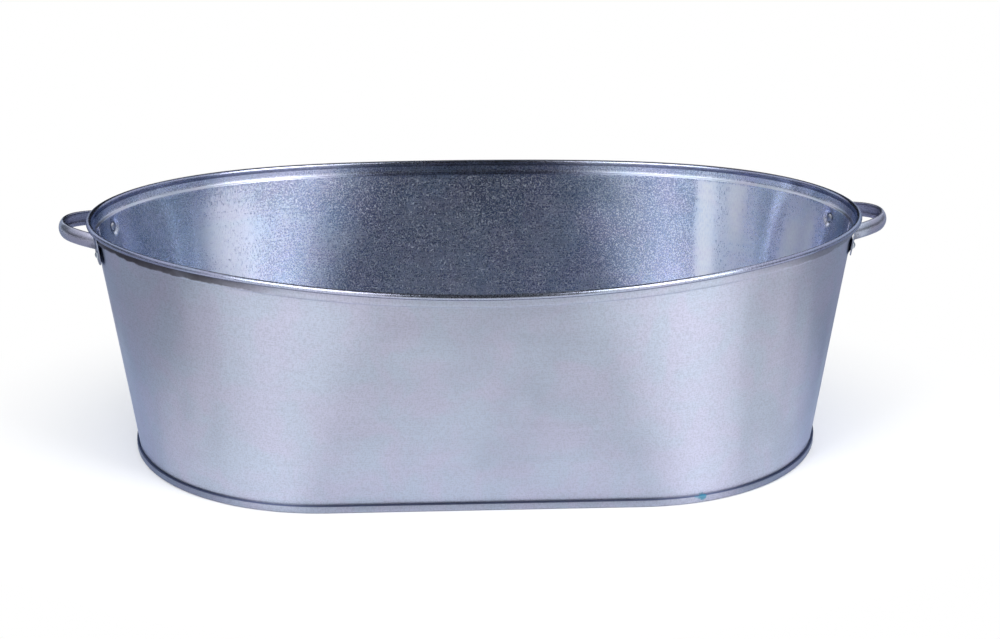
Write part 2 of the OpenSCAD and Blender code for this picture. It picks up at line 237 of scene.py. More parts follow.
class Sheet:
    """Collects quads of one piece, then makes a mesh in metres with a UV map that runs along the sheet."""

    def __init__(self):
        self.points, self.faces, self.uvs, self.inside = [], [], [], []

    def skin(self, grid, uv, flip=False, inside=0.0):
        """A grid of points [i, j] as a skin of quads; uv gives each grid point's place on the sheet."""
        base = len(self.points)
        n, m = grid.shape[:2]
        self.points.extend(grid.reshape(-1, 3))
        self.inside.extend([inside] * (n * m))
        flat = uv.reshape(-1, 2)
        for i in range(n - 1):
            for j in range(m - 1):
                quad = [i * m + j, (i + 1) * m + j, (i + 1) * m + j + 1, i * m + j + 1]
                if flip:
                    quad.reverse()
                self.faces.append([base + k for k in quad])
                self.uvs.extend(flat[k] for k in quad)

    def build(self, name, scale=AS_DRAWN, merge=WALL_MERGE, rim=None):
        """rim gives each point's drop below the rim and its distance outward of it, for the finish there."""
        points = np.array(self.points)
        if rim is None:
            drop, outward = np.full(len(points), NO_RIM), np.zeros(len(points))
        else:
            drop, outward = rim(points)
        mesh = bpy.data.meshes.new(name)
        mesh.from_pydata((points * np.array(scale) * MM).tolist(), [], self.faces)
        layer = mesh.uv_layers.new(name="UVMap")
        layer.data.foreach_set("uv", (np.array(self.uvs) * MM).astype(np.float32).ravel())
        for label, values in (("inside", self.inside), ("drop", drop * MM), ("outward", outward * MM)):
            mesh.attributes.new(label, "FLOAT", "POINT").data.foreach_set("value", values)
        obj = add_object(name, mesh)
        bm = bmesh.new()
        bm.from_mesh(mesh)
        bmesh.ops.remove_doubles(bm, verts=bm.verts, dist=merge * MM)
        bmesh.ops.dissolve_degenerate(bm, edges=bm.edges, dist=merge * MM / 4)
        bmesh.ops.recalc_face_normals(bm, faces=bm.faces)
        bm.to_mesh(mesh)
        bm.free()
        mesh.polygons.foreach_set("use_smooth", [True] * len(mesh.polygons))
        mesh.set_sharp_from_angle(angle=SHARP_ANGLE)
        return obj


def along(points):
    """Distance along a line of points."""
    steps = np.linalg.norm(np.diff(points, axis=0), axis=-1)
    return np.concatenate([[0], np.cumsum(steps)])


def sheet_uv(lengthwise, crosswise):
    """The place on the sheet of each point of a grid, measured along one line of it each way."""
    return np.stack(np.broadcast_arrays(along(lengthwise)[:, None], along(crosswise)[None, :]), -1)


def rounded(corners, radii, steps=4):
    """A closed outline with its corners rounded."""
    made = []
    n = len(corners)
    for k in range(n):
        p = np.array(corners[k], float)
        a = np.array(corners[k - 1], float) - p
        b = np.array(corners[(k + 1) % n], float) - p
        la, lb = np.linalg.norm(a), np.linalg.norm(b)
        a, b = a / la, b / lb
        half = math.acos(max(-1, min(1, float(a @ b)))) / 2
        reach = min(radii[k] / math.tan(half), 0.49 * la, 0.49 * lb) if radii[k] else 0
        if reach < 1e-6 or half > math.radians(85):
            made.append(p)
            continue
        r = reach * math.tan(half)
        centre = p + unit(a + b) * r / math.sin(half)
        start = p + a * reach - centre
        stop = p + b * reach - centre
        turn = math.atan2(start[0] * stop[1] - start[1] * stop[0], start @ stop)
        first = math.atan2(start[1], start[0])
        made.extend(centre + r * direction(first + turn * i / steps) for i in range(steps + 1))
    return np.array(made)


# Walls

JOG_OUT = 3 * LOCK_PITCH
FOOT_ROWS = 3
STATION_STEP = 2.0
DIMPLE_TURN = 3
DIMPLE_CLEAR = math.radians(3.2)
HOOK_STATIONS = [BUTT_GAP / 2, 2.5]
JOG_STATIONS = [4.2, 4.7, 5.2, 5.7, 6.2, 6.7, 7.2, 7.7, 8.2]
LEVEL_SLACK = 1e-9


def half_stations():
    """Rim angles along half of the rim, closer together at the dimples and at the lock seam."""
    even = np.radians(np.arange(2, 179, STATION_STEP))
    near = math.degrees(FOOT_TH)
    fine = np.radians(np.linspace(near - DIMPLE_TURN, near + DIMPLE_TURN, 21))
    clear = (np.abs(even - FOOT_TH) > DIMPLE_CLEAR) & (np.abs(math.pi - even - FOOT_TH) > DIMPLE_CLEAR)
    coarse = even[clear]
    first = end_angle(HOOK_STATIONS)
    last = math.pi - end_angle(HOOK_STATIONS + JOG_STATIONS)
    coarse = coarse[(coarse > end_angle(6)) & (coarse < math.pi - end_angle(10))]
    return np.sort(np.concatenate([first, coarse, fine, math.pi - fine, last]))


def face_levels():
    """Rows up the wall's face, closer together at the lock seam's ends and at the dimples."""
    low = [0, LOCK_LOW / 3, LOCK_LOW * 2 / 3, LOCK_LOW]
    middle = list(np.linspace(LOCK_LOW, 0.86, 15)[1:])
    dimple = list(np.linspace(0.88, 0.975, 15))
    high = [LOCK_HIGH, (2 * LOCK_HIGH + 1) / 3, (LOCK_HIGH + 2) / 3, 1]
    return np.array(low + middle + dimple + high)


def dimple_at(points):
    """How far the pressed dimples at the two feet carry the wall outward."""
    out = np.zeros(points.shape[:-1])
    for side in (1, -1):
        centre = RIVET_POINT * np.array([side, 1, 1])
        away = np.linalg.norm(points - centre, axis=-1)
        out += COLLAR_STEP * smooth((DIMPLE_D / 2 - away) / (DIMPLE_D - DIMPLE_FLAT_D) * 2)
    return out


def ripple(th, s):
    """Slight unevenness of the rolled sheet in millimetres, none at its edges."""
    edge = smooth(s / 0.12) * smooth((1 - s) / 0.12)
    wave = 0.55 * np.sin(7 * th + 2.1 + 2.3 * s) + 0.35 * np.sin(17 * th + 4.0 * s + 0.6)
    wave += 0.3 * np.sin(31 * th - 5.2 * s + 1.9) * np.sin(6.5 * s + 0.4)
    at_bends = smooth((np.abs(np.cos(th)) - 0.45) / 0.3)
    rolled = (np.sin(37 * th + 0.8 * np.sin(5 * th)) + 0.7 * np.sin(59 * th + 1.1)) * at_bends
    ends = smooth(np.sin(th) / 0.3)
    return (0.16 * wave + 0.18 * rolled) * edge * ends


def wall_profile(th):
    """Outer and inner points [station, row] from the hook in the bottom seam to the end of the curl."""
    th = th[:, None]
    foot = [shell(th, 0, HOOK_IN, SEAM_HEIGHT - WALL_FOOT), shell(th, 0, HOOK_IN, WALL_FOOT + SHEET),
            shell(th, 0, 0, WALL_FOOT + SHEET)]
    foot_in = [shell(th, 0, HOOK_IN + SHEET, SEAM_HEIGHT - WALL_FOOT),
               shell(th, 0, HOOK_IN + SHEET, WALL_FOOT), shell(th, 0, -SHEET, WALL_FOOT)]
    s = face_levels()[None, :]
    from_lock = RIM_B * np.sin(math.pi - th)
    jog = JOG_OUT * smooth((LOCK_FOLD + 0.2 + LOCK_JOG - from_lock) / LOCK_JOG) * (th > math.pi / 2)
    jog = jog * smooth(s / LOCK_LOW) * smooth((1 - s) / (1 - LOCK_HIGH))
    pressed = dimple_at(wall_face(th, s, 0.0)) + ripple(th, s)
    face = wall_face(th, s, jog + pressed)
    face_in = wall_face(th, s, jog + pressed - SHEET)
    q = np.linspace(0, 1, 8)[None, 1:]
    t = COLLAR_T + (BAND_T - COLLAR_T) * q
    step = -WALL_INSET + COLLAR_STEP * smooth(q)
    band = np.linspace(BAND_T, 1, 4)[None, 1:-1]
    turn = np.radians(180 - RIM_WRAP * np.linspace(0, 1, 25))[None, :]
    outer = foot + [face, shell(th, t, step), shell(th, band, -CURL_R),
                    shell(th, 1, CURL_R * np.cos(turn), CURL_R * np.sin(turn))]
    curl = CURL_R + SHEET
    inner = foot_in + [face_in, shell(th, t, step - SHEET), shell(th, band, -CURL_R - SHEET),
                       shell(th, 1, curl * np.cos(turn), curl * np.sin(turn))]
    return np.concatenate(outer, 1), np.concatenate(inner, 1)


def lock_hook(flip, start_u, end_u):
    """The folded edge of a half sheet: it leaves one layer, turns back on itself and ends in another."""
    centre_y = -LOCK_FOLD + LOCK_PITCH + SHEET / 2
    middle = (start_u + end_u) / 2
    turn = 1 if end_u > start_u else -1
    # each point is [along the wall, out of it] with its normal
    line = [(BUTT_GAP / 2, start_u, 0.0, 1.0), (-1.5, start_u, 0.0, 1.0)]
    for k in range(9):
        angle = math.pi / 2 + math.pi * k / 8
        y = centre_y + LOCK_PITCH * math.cos(angle)
        u = middle - turn * LOCK_PITCH * math.sin(angle)
        line.append((y, u, -math.cos(angle), turn * math.sin(angle)))
    line += [(0.0, end_u, 0.0, -1.0), (LOCK_LIP, end_u, 0.0, -1.0)]
    if turn < 0:
        line = [(y, u, -ny if 1 < k < 11 else ny, nu if k < 2 or k > 10 else -nu)
                for k, (y, u, ny, nu) in enumerate(line)]
    levels = face_levels()
    s = levels[(levels >= LOCK_LOW - LEVEL_SLACK) & (levels <= LOCK_HIGH + LEVEL_SLACK)]
    pair = []
    for side in (SHEET / 2, -SHEET / 2):
        rows = []
        for y, u, ny, nu in line:
            th = end_angle(y + side * ny)
            th = math.pi - th if flip else th
            rows.append(wall_face(np.full(len(s), th), s, u + side * nu))
        pair.append(np.array(rows))
    return pair


def add_sheet(piece, outer, inner, open_rows=(0, 0), ends=(True, True)):
    """A sheet with its two skins, its edges and its ends; the open range of rows has no end face."""
    uv = sheet_uv(outer[:, outer.shape[1] // 2], outer[outer.shape[0] // 2])
    piece.skin(outer, uv)
    piece.skin(inner, uv, flip=True, inside=1.0)
    for row in (0, -1):
        edge = np.stack([outer[:, row], inner[:, row]], 1)
        piece.skin(edge, np.stack([uv[:, row], uv[:, row] + SHEET], 1))
    for station, wanted in zip((0, -1), ends):
        if not wanted:
            continue
        for first, last in ((0, open_rows[0]), (open_rows[1], outer.shape[1] - 1)):
            if last > first:
                end = np.stack([outer[station, first:last + 1], inner[station, first:last + 1]], 1)
                piece.skin(end, np.stack([uv[station, first:last + 1]] * 2, 1))


def from_rim(p):
    """Drop of points below the rim's line, and their distance outward of it."""
    x, y = p[:, 0], p[:, 1]
    excess = (x / RIM_A) ** 2 + (y / RIM_B) ** 2 - 1
    outward = excess / (2 * np.hypot(x / RIM_A ** 2, y / RIM_B ** 2))
    return rim_level(np.arctan2(y / RIM_B, x / RIM_A)) - p[:, 2], outward


def half_wall(name, scale):
    piece = Sheet()
    outer, inner = wall_profile(half_stations())
    levels = face_levels()
    lock_rows = [FOOT_ROWS + int(np.argmin(abs(levels - level))) for level in (LOCK_LOW, LOCK_HIGH)]
    add_sheet(piece, outer, inner, lock_rows)
    for hook in (lock_hook(False, -SHEET / 2, 2 * LOCK_PITCH - SHEET / 2),
                 lock_hook(True, 3 * LOCK_PITCH - SHEET / 2, LOCK_PITCH - SHEET / 2)):
        add_sheet(piece, *hook, ends=(False, True))
    return piece.build(name, scale, rim=from_rim)


# Bottom pan


def bottom_pan(name):
    ring_in = -SHEET - FOOT_RING
    floor_in = ring_in - FLOOR_SLOPE
    floor_edge = floor_in - FLOOR_BORDER
    inner_fold = SEAM_GAP + SHEET
    fold_foot = WALL_FOOT + SHEET + SEAM_GAP
    section = rounded([
        (floor_edge, FLOOR_RISE), (floor_in, FLOOR_RISE), (ring_in, 0), (SEAM_OUT, 0),
        (SEAM_OUT, SEAM_HEIGHT), (SEAM_GAP, SEAM_HEIGHT), (SEAM_GAP, fold_foot),
        (inner_fold, fold_foot), (inner_fold, SEAM_HEIGHT - SHEET),
        (SEAM_OUT - SHEET, SEAM_HEIGHT - SHEET), (SEAM_OUT - SHEET, SHEET), (ring_in, SHEET),
        (floor_in, FLOOR_RISE + SHEET), (floor_edge, FLOOR_RISE + SHEET)],
        [0, 2.5, 2.5, 1.0, 1.0, 0.6, 0, 0, 0.3, 0.3, 0.3, 2.0, 2.0, 0])
    # each half circle keeps clear of the middle, so that its cosine gives its side
    half = np.radians(np.linspace(-90, 90, 61))
    half[0] += 1e-6
    half[-1] -= 1e-6
    th = np.concatenate([half, half + math.pi])
    side = np.where(np.cos(th) > 0, 1.0, -1.0)

    def ring(offset, z):
        """A closed ring at a distance from the base's line; its straight sides take points of their own."""
        r = BASE_R + offset
        x = side * BASE_STRAIGHT + r * np.cos(th)
        row = np.stack([x, r * np.sin(th), np.full_like(x, z)], -1)
        first, second = row[:len(half)], row[len(half):]
        cut = np.linspace(0, 1, 9)[1:-1, None]
        bridge = first[-1] + (second[0] - first[-1]) * cut
        back = second[-1] + (first[0] - second[-1]) * cut
        return np.concatenate([first, bridge, second, back, first[:1]])

    piece = Sheet()
    grid = np.stack([ring(offset, z) for offset, z in section], 1)
    piece.skin(grid, sheet_uv(grid[:, 0], grid[0]))
    shares = np.linspace(1, 0, 9)
    for z, upper in ((FLOOR_RISE, False), (FLOOR_RISE + SHEET, True)):
        rows = [ring((BASE_R + floor_in - FLOOR_BORDER) * share - BASE_R, z) for share in shares]
        floor = np.stack(rows, 1)
        fade = 1 - shares[None, :]
        floor[..., 2] += (0.35 * smooth(fade * 2) * np.sin(floor[..., 0] / 55 + 0.7)
                          * np.cos(floor[..., 1] / 43))
        piece.skin(floor, floor[..., :2], flip=upper, inside=float(upper))
    return piece.build(name)


# Handles

LOOP_TIP = RIM_A + CURL_R + SHEET + HANDLE_REACH
FRONT_CENTRE = np.array([LOOP_TIP - FRONT_RADIUS, 0.0])
SIDE_CENTRE = FRONT_CENTRE - (SIDE_RADIUS - FRONT_RADIUS) * direction(FRONT_TURN)
FOOT_AXIS = FOOT_FRAME[:, 0]
FOOT_UP = FOOT_FRAME[:, 2]
PLATE_MIDDLE = float(RIVET_POINT @ FOOT_AXIS) + FOOT_STAND + STRAP_SHEET / 2
PLATE_REACH = (PLATE_MIDDLE + math.sin(FOOT_LEAN) * STRAP_LEVEL) / math.cos(FOOT_LEAN)
PLATE_CORNER = 2.5
PLATE_EDGE = 0.35
PLATE_FLAT_R = 5.6
LEG_ROOM = LEG_LENGTH + STRAP_HALF * (math.sin(LOOP_TILT) + math.tan(FOOT_LEAN))
LEG_TURN = FOOT_YAW + math.acos(
    (PLATE_REACH + LEG_ROOM - SIDE_CENTRE @ direction(FOOT_YAW)) / (SIDE_RADIUS - STRAP_DEPTH))


def tilted(x, y, z):
    """The loop tilts up about the line where it leaves the wall."""
    run = x - FRONT_CENTRE[0]
    return np.stack([FRONT_CENTRE[0] + run * math.cos(LOOP_TILT) - z * math.sin(LOOP_TILT), y,
                     STRAP_LEVEL + run * math.sin(LOOP_TILT) + z * math.cos(LOOP_TILT)], -1)


def strap_section():
    """The strap's section as [outward, up] from the crown of its outer face."""
    bulge_r = (STRAP_HALF ** 2 + STRAP_BULGE ** 2) / (2 * STRAP_BULGE)

    def bulge(y):
        return math.sqrt(bulge_r ** 2 - y ** 2) - bulge_r

    steps = 10
    inner_half = STRAP_HALF - STRAP_SHEET
    outer_face = [(bulge(y), y) for y in np.linspace(-STRAP_HALF, STRAP_HALF, steps + 1)]
    inner_face = [(bulge(y) - STRAP_SHEET, y) for y in np.linspace(inner_half, -inner_half, steps + 1)]
    lip = -STRAP_HALF + STRAP_LIP
    corners = outer_face + [(-STRAP_DEPTH, STRAP_HALF), (-STRAP_DEPTH, inner_half)] + inner_face + [
        (-STRAP_DEPTH + STRAP_SHEET, -inner_half), (-STRAP_DEPTH + STRAP_SHEET, lip),
        (-STRAP_DEPTH, lip), (-STRAP_DEPTH, -STRAP_HALF)]
    radii = ([1.2] + [0.0] * (steps - 1) + [1.2] + [0.5, 0.5] + [0.4] + [0.0] * (steps - 1) + [0.4]
             + [0.3, 0.5, 0.5, 0.9])
    return rounded(corners, radii, 3)


def handle_rings():
    """The strap's section [station, k] all along it, from the front foot to the back foot."""
    front = [(FRONT_CENTRE + FRONT_RADIUS * direction(a), a) for a in np.linspace(0, FRONT_TURN, 15)]
    side = [(SIDE_CENTRE + SIDE_RADIUS * direction(a), a) for a in np.linspace(FRONT_TURN, LEG_TURN, 6)[1:]]
    section = strap_section()
    rings = []
    for point, a in front + side:
        plan = point[None, :] + section[:, :1] * direction(a)[None, :]
        rings.append(tilted(plan[:, 0], plan[:, 1], section[:, 1]))
    # the legs run straight on to the middle of the foot plate
    run = tilted(-math.sin(LEG_TURN), math.cos(LEG_TURN), 0.0) - tilted(0.0, 0.0, 0.0)
    last = rings[-1]
    reach = (PLATE_MIDDLE - last @ FOOT_AXIS) / (run @ FOOT_AXIS)
    rings.append(last + reach[:, None] * run)
    back = [r * np.array(MIRRORED) for r in rings[:0:-1]]
    return np.array(back + rings)


def tongue_distance(p, top, tip, half, corner):
    """Signed distance to the foot plate's outline, round at the bottom and with rounded top corners."""
    down, across = p[..., 0], np.abs(p[..., 1])
    round_at = tip - half
    low = np.hypot(np.maximum(down - round_at, 0), across) - half
    qx = -down - (top - corner)
    qy = across - (half - corner)
    high = np.hypot(np.maximum(qx, 0), np.maximum(qy, 0)) + np.minimum(np.maximum(qx, qy), 0) - corner
    return np.where(down > round_at, low, np.where(-down > top - corner, high, across - half))


def foot_plate(piece, strap_end, mirrored):
    """The foot plate as a pressed tongue with a rounded edge and the rivet's hole."""
    top = float(((strap_end - RIVET_POINT) @ FOOT_UP).max()) + FOOT_RIM
    tip = FOOT_DROP - RIVET_DROP
    count = 72
    angle = np.linspace(0, 2 * math.pi, count + 1)
    rays = np.stack([np.cos(angle), np.sin(angle)], -1)

    def outline(inset):
        """Where each ray meets the outline, found by halving."""
        low, high = np.full(count + 1, 1.0), np.full(count + 1, 60.0)
        for _ in range(40):
            middle = (low + high) / 2
            inside = tongue_distance(rays * middle[:, None], top, tip, FOOT_WIDTH / 2, PLATE_CORNER) < -inset
            low, high = np.where(inside, middle, low), np.where(inside, high, middle)
        return rays * low[:, None]

    hole = RIVET_D / 2 + 0.1
    turned = [(PLATE_EDGE * (1 - math.sin(a)), STRAP_SHEET - PLATE_EDGE * (1 - math.cos(a)))
              for a in np.radians([0, 30, 60, 90])]
    rings = [(rays * hole, 0.0), (rays * (hole + 0.02), STRAP_SHEET - 0.1),
             (rays * (hole + 0.15), STRAP_SHEET), (rays * PLATE_FLAT_R, STRAP_SHEET)]
    rings += [(outline(inset), height) for inset, height in turned]
    rings += [(outline(inset), STRAP_SHEET - height) for inset, height in reversed(turned)]
    rings += [(rays * PLATE_FLAT_R, 0.0), (rays * hole, 0.0)]
    grid = np.array([
        from_foot(np.stack([np.full(count + 1, FOOT_STAND + height), plan[:, 1], -plan[:, 0]], -1))
        for plan, height in rings])
    if mirrored:
        grid = grid * np.array(MIRRORED)
    piece.skin(grid, grid[..., 1:], flip=mirrored)


def handle(name, scale):
    piece = Sheet()
    rings = handle_rings()
    strap = np.concatenate([rings, rings[:, :1]], 1)
    piece.skin(strap, sheet_uv(strap[:, 0], strap[len(strap) // 2]))
    for mirrored in (False, True):
        foot_plate(piece, rings[-1], mirrored)
    return piece.build(name, scale, FINE_MERGE)


# Rivets


def rivet(name, scale, seed):
    """A snapped rivet: shank, round head outside and hammered tail inside."""
    head_base = FOOT_STAND + STRAP_SHEET + HEAD_GAP
    tail_base = COLLAR_STEP - SHEET - HEAD_GAP

    def cap(width, height, base, sign, flat):
        """Points [along the axis, from it] from a cap's edge to its crown, which is hammered flat."""
        r = (width ** 2 / 4 + height ** 2) / (2 * height)
        edge = math.asin(width / 2 / r)
        line = []
        for a in np.linspace(edge, 0, 9):
            rise = min(r * math.cos(a) - (r - height), height - flat * smooth(1 - a / edge))
            line.append((base + sign * rise, r * math.sin(a)))
        return line

    head = cap(HEAD_D, HEAD_HEIGHT, head_base, 1, 0.1)
    tail = cap(TAIL_D, TAIL_HEIGHT, tail_base, -1, 0.12)
    line = head[::-1] + [(head_base, RIVET_D / 2), (tail_base, RIVET_D / 2)] + tail
    angle = np.linspace(0, 2 * math.pi, 41)
    grid = []
    for x, r in line:
        uneven = 1 - 0.012 * (1 + np.sin(3 * angle + seed)) * (r > RIVET_D / 2 + 0.1)
        grid.append(np.stack([np.full_like(angle, x), r * uneven * np.cos(angle),
                              r * uneven * np.sin(angle)], -1))
    piece = Sheet()
    grid = from_foot(np.array(grid))
    piece.skin(grid, sheet_uv(grid[:, 0], grid[len(head) - 1]))
    return piece.build(name, scale, FINE_MERGE)


# Materials


MIX_SHARE, MIX_A, MIX_B, MIX_RESULT = 0, 6, 7, 2


class Graph:
    """Writes shader nodes as expressions."""

    def __init__(self, tree):
        tree.nodes.clear()
        self.tree = tree

    def add(self, kind, inputs=None, **settings):
        node = self.tree.nodes.new(kind)
        for key, value in settings.items():
            setattr(node, key, value)
        for key, value in (inputs or {}).items():
            socket = node.inputs[key]
            if isinstance(value, bpy.types.NodeSocket):
                self.tree.links.new(value, socket)
            else:
                socket.default_value = value
        return node

    def math(self, operation, *values):
        return self.add("ShaderNodeMath", dict(enumerate(values)), operation=operation).outputs[0]

    def times(self, *values):
        return reduce(lambda a, b: self.math("MULTIPLY", a, b), values)

    def plus(self, *values):
        return reduce(lambda a, b: self.math("ADD", a, b), values)

    def most(self, *values):
        return reduce(lambda a, b: self.math("MAXIMUM", a, b), values)

    def minus(self, a, b):
        return self.math("SUBTRACT", a, b)

    def attribute(self, name):
        return self.add("ShaderNodeAttribute", attribute_name=name).outputs["Fac"]

    def split(self, vector):
        return self.add("ShaderNodeSeparateXYZ", {"Vector": vector}).outputs

    def noise(self, vector, scale, detail=2.0, rough=0.5, distortion=0.0):
        return self.add("ShaderNodeTexNoise", {"Vector": vector, "Scale": scale, "Detail": detail,
                                               "Roughness": rough, "Distortion": distortion}).outputs["Fac"]

    def stretched(self, vector, scale, detail, rough):
        """Noise with its own scale each way of the sheet."""
        long = self.add("ShaderNodeMapping", {"Vector": vector, "Scale": scale}).outputs["Vector"]
        return self.noise(long, 1.0, detail, rough)

    def spread(self, value, low, high, to_low=0.0, to_high=1.0):
        """A soft step: it starts at low and is full at high."""
        return self.add("ShaderNodeMapRange", {"Value": value, "From Min": low, "From Max": high,
                                               "To Min": to_low, "To Max": to_high},
                        interpolation_type="SMOOTHSTEP").outputs["Result"]

    def between(self, value, rise, fall):
        return self.times(self.spread(value, *rise), self.spread(value, *fall))

    def mix(self, share, a, b, blend="MIX"):
        node = self.add("ShaderNodeMix", data_type="RGBA", blend_type=blend)
        for socket, value in ((MIX_SHARE, share), (MIX_A, a), (MIX_B, b)):
            if isinstance(value, bpy.types.NodeSocket):
                self.tree.links.new(value, node.inputs[socket])
            else:
                node.inputs[socket].default_value = value if socket == MIX_SHARE else (*value, 1)
        return node.outputs[MIX_RESULT]

    def tint(self, share, a, b):
        return self.mix(share, a, b, blend="MULTIPLY")

    def bump(self, strength, distance, height, under=None):
        inputs = {"Strength": strength, "Distance": distance, "Height": height}
        if under is not None:
            inputs["Normal"] = under
        return self.add("ShaderNodeBump", inputs).outputs["Normal"]


def new_material(name):
    material = bpy.data.materials.new(name)
    material.use_nodes = True
    return material, Graph(material.node_tree)


# Where the finish changes, in metres: each pair says where a mask starts and where it is full.
# The drop is measured below the rim, outward from its line, and the rest in the tub's own frame.
BEAD_DROP = (0.0036, 0.0030)
BEAD_ROOT_DROP, BEAD_ROOT_OUT = (0.0002, 0.0014), (-0.0016, -0.0025)
BEAD_UNDER_DROP, BEAD_UNDER_OUT = (0.0006, 0.0020), (0.0, 0.001)
COLLAR_FOOT_DROP = (0.0096, 0.0106), (0.0132, 0.0122)
OPEN_WALL_DROP = (0.0125, 0.0165)
DARK_BAND_TOP, DARK_BAND_FOOT = (0.0026, 0.0034), (0.0112, 0.0092)
DARK_BAND_LEFT, DARK_BAND_RIGHT = (-0.17, -0.25), (0.25, 0.34)
CREVICE_Z = (0.0063, 0.0070), (0.0092, 0.0084)
SKIRT_Z = (0.0085, 0.0075)
MIDDLE_X = (0.10, 0.22)
SPECKED_X = (0.12, 0.26)
FLANK_X, FLANK_Z = (0.30, 0.362), (0.18, 0.07)
SKIRT_END_X = (0.19, 0.31)
BEAD_END_X = (0.17, 0.33)

# What is mixed into the zinc, or multiplied with it
# painted light: how much lighter the inner skin is made
INNER_PAINTED_LIGHT = (1.42, 1.41, 1.34)
# painted shade: the middle of the inner wall
MIDDLE_PAINTED_SHADE = (0.70, 0.73, 0.80)
# painted shade: the foot of the collar there
COLLAR_FOOT_PAINTED_SHADE = (0.5, 0.52, 0.6)
BEAD_SHADE = (0.80, 0.82, 0.88)
# painted shade: the lower ends outside and the ends of the seam band
FLANK_PAINTED_SHADE = (0.79, 0.84, 0.93)
SKIRT_END_PAINTED_SHADE = (0.55, 0.58, 0.66)
# painted shade: the ends of the bead
BEAD_END_PAINTED_SHADE = (0.60, 0.63, 0.76)
SPECK = (0.90, 0.94, 1.0)
# dirt and painted shadow in the crevice above the seam
CREVICE_DIRT_AND_SHADOW = (0.075, 0.095, 0.19)
# painted shadow at the foot of the bead
BEAD_LINE_SHADOW = (0.10, 0.11, 0.17)
BAND_DARK = (0.085, 0.075, 0.085)
# painted reflections: the pale and the dark streaks on the inner wall
PAINTED_PALE_REFLECTION = (0.92, 0.955, 1.0)
PAINTED_DARK_REFLECTION = (0.25, 0.335, 0.43)
EDGE_TINT = (0.69, 0.75, 0.85, 1)

# How far the lower edge of the dark band and the line of a painted reflection streak wander, in metres
BAND_RAGGED = 0.009
STREAK_WAVER = 0.012

# How much rougher a pale streak makes the zinc, and the wall's share of the dark line that the pan also has
STREAK_DULLS = 0.32
CREVICE_ON_WALL = 0.3


def zinc_patterns(g, where, sheet):
    """The patterns that run all over the zinc, large and small."""
    p = SimpleNamespace()
    p.patch = g.noise(where, 24.0, 3.0, 0.55, 0.6)
    p.stain = g.noise(where, 7.0, 5.0, 0.62, 0.3)
    p.blue = g.noise(where, 13.0, 2.0, 0.5)
    p.waves = g.noise(where, 46.0, 3.0, 0.5)
    across = g.stretched(sheet, (230, 1000, 1), 2.0, 0.6)
    p.upright = g.stretched(sheet, (900, 180, 1), 2.0, 0.6)
    pits = g.noise(where, 620.0, 2.0, 0.6)
    p.weave = g.plus(g.times(across, 0.36), g.times(p.upright, 0.28), g.times(pits, 0.36))
    p.rolled = g.stretched(sheet, (8, 1300, 1), 3.0, 0.65)
    p.sparkle = g.spread(g.noise(where, 760.0, 1.0, 0.5), 0.55, 0.69)
    crystal = g.add("ShaderNodeTexVoronoi", {"Vector": where, "Scale": 210.0})
    p.crystal = g.add("ShaderNodeSeparateColor", {"Color": crystal.outputs["Color"]}).outputs[0]
    return p


def zinc_zones(g, where, stain, wall):
    """Masks for the places where the finish differs."""
    zone = SimpleNamespace()
    x, _, z = g.split(where)
    drop, outward, inner_skin = (g.attribute(name) for name in ("drop", "outward", "inside"))
    from_middle = g.math("ABSOLUTE", x)
    zone.bead = g.spread(drop, *BEAD_DROP)
    zone.outside = g.minus(1.0, inner_skin)
    zone.inside = g.times(inner_skin, g.minus(1.0, zone.bead))
    zone.open_wall = g.times(zone.inside, g.spread(drop, *OPEN_WALL_DROP, 0.15, 1.0))
    root = g.times(zone.bead, g.spread(drop, *BEAD_ROOT_DROP), g.spread(outward, *BEAD_ROOT_OUT))
    under = g.times(zone.bead, g.spread(drop, *BEAD_UNDER_DROP), g.spread(outward, *BEAD_UNDER_OUT))
    zone.bead_line = g.most(g.times(root, 0.5), under)
    zone.collar_foot = g.times(g.between(drop, *COLLAR_FOOT_DROP), zone.inside)
    zone.middle = g.times(g.spread(from_middle, *MIDDLE_X, 1.0, 0.0), zone.inside)
    zone.specked = g.times(zone.open_wall, g.spread(from_middle, *SPECKED_X, 1.0, 0.36))
    # the pan holds most of the seam's dark line, the wall above it only its edge
    zone.crevice = g.times(g.between(z, *CREVICE_Z), zone.outside, CREVICE_ON_WALL if wall else 1.0)
    zone.skirt_end = g.times(g.spread(z, *SKIRT_Z), zone.outside, g.spread(from_middle, *SKIRT_END_X))
    zone.bead_end = g.times(zone.bead, g.spread(from_middle, *BEAD_END_X))
    zone.flank = g.times(g.spread(from_middle, *FLANK_X), g.spread(z, *FLANK_Z), zone.outside)
    # the band under the rim outside, darker at both ends, with a ragged lower edge
    ragged = g.plus(drop, g.times(g.minus(g.noise(where, 55.0, 3.0, 0.6), 0.5), BAND_RAGGED))
    sides = g.most(g.spread(x, *DARK_BAND_LEFT), g.spread(x, *DARK_BAND_RIGHT, 0.0, 0.42))
    zone.dirt_band = g.times(g.spread(drop, *DARK_BAND_TOP), g.spread(ragged, *DARK_BAND_FOOT),
                             zone.outside, sides, g.spread(stain, 0.66, 0.40, 0.55, 1.0))
    return zone


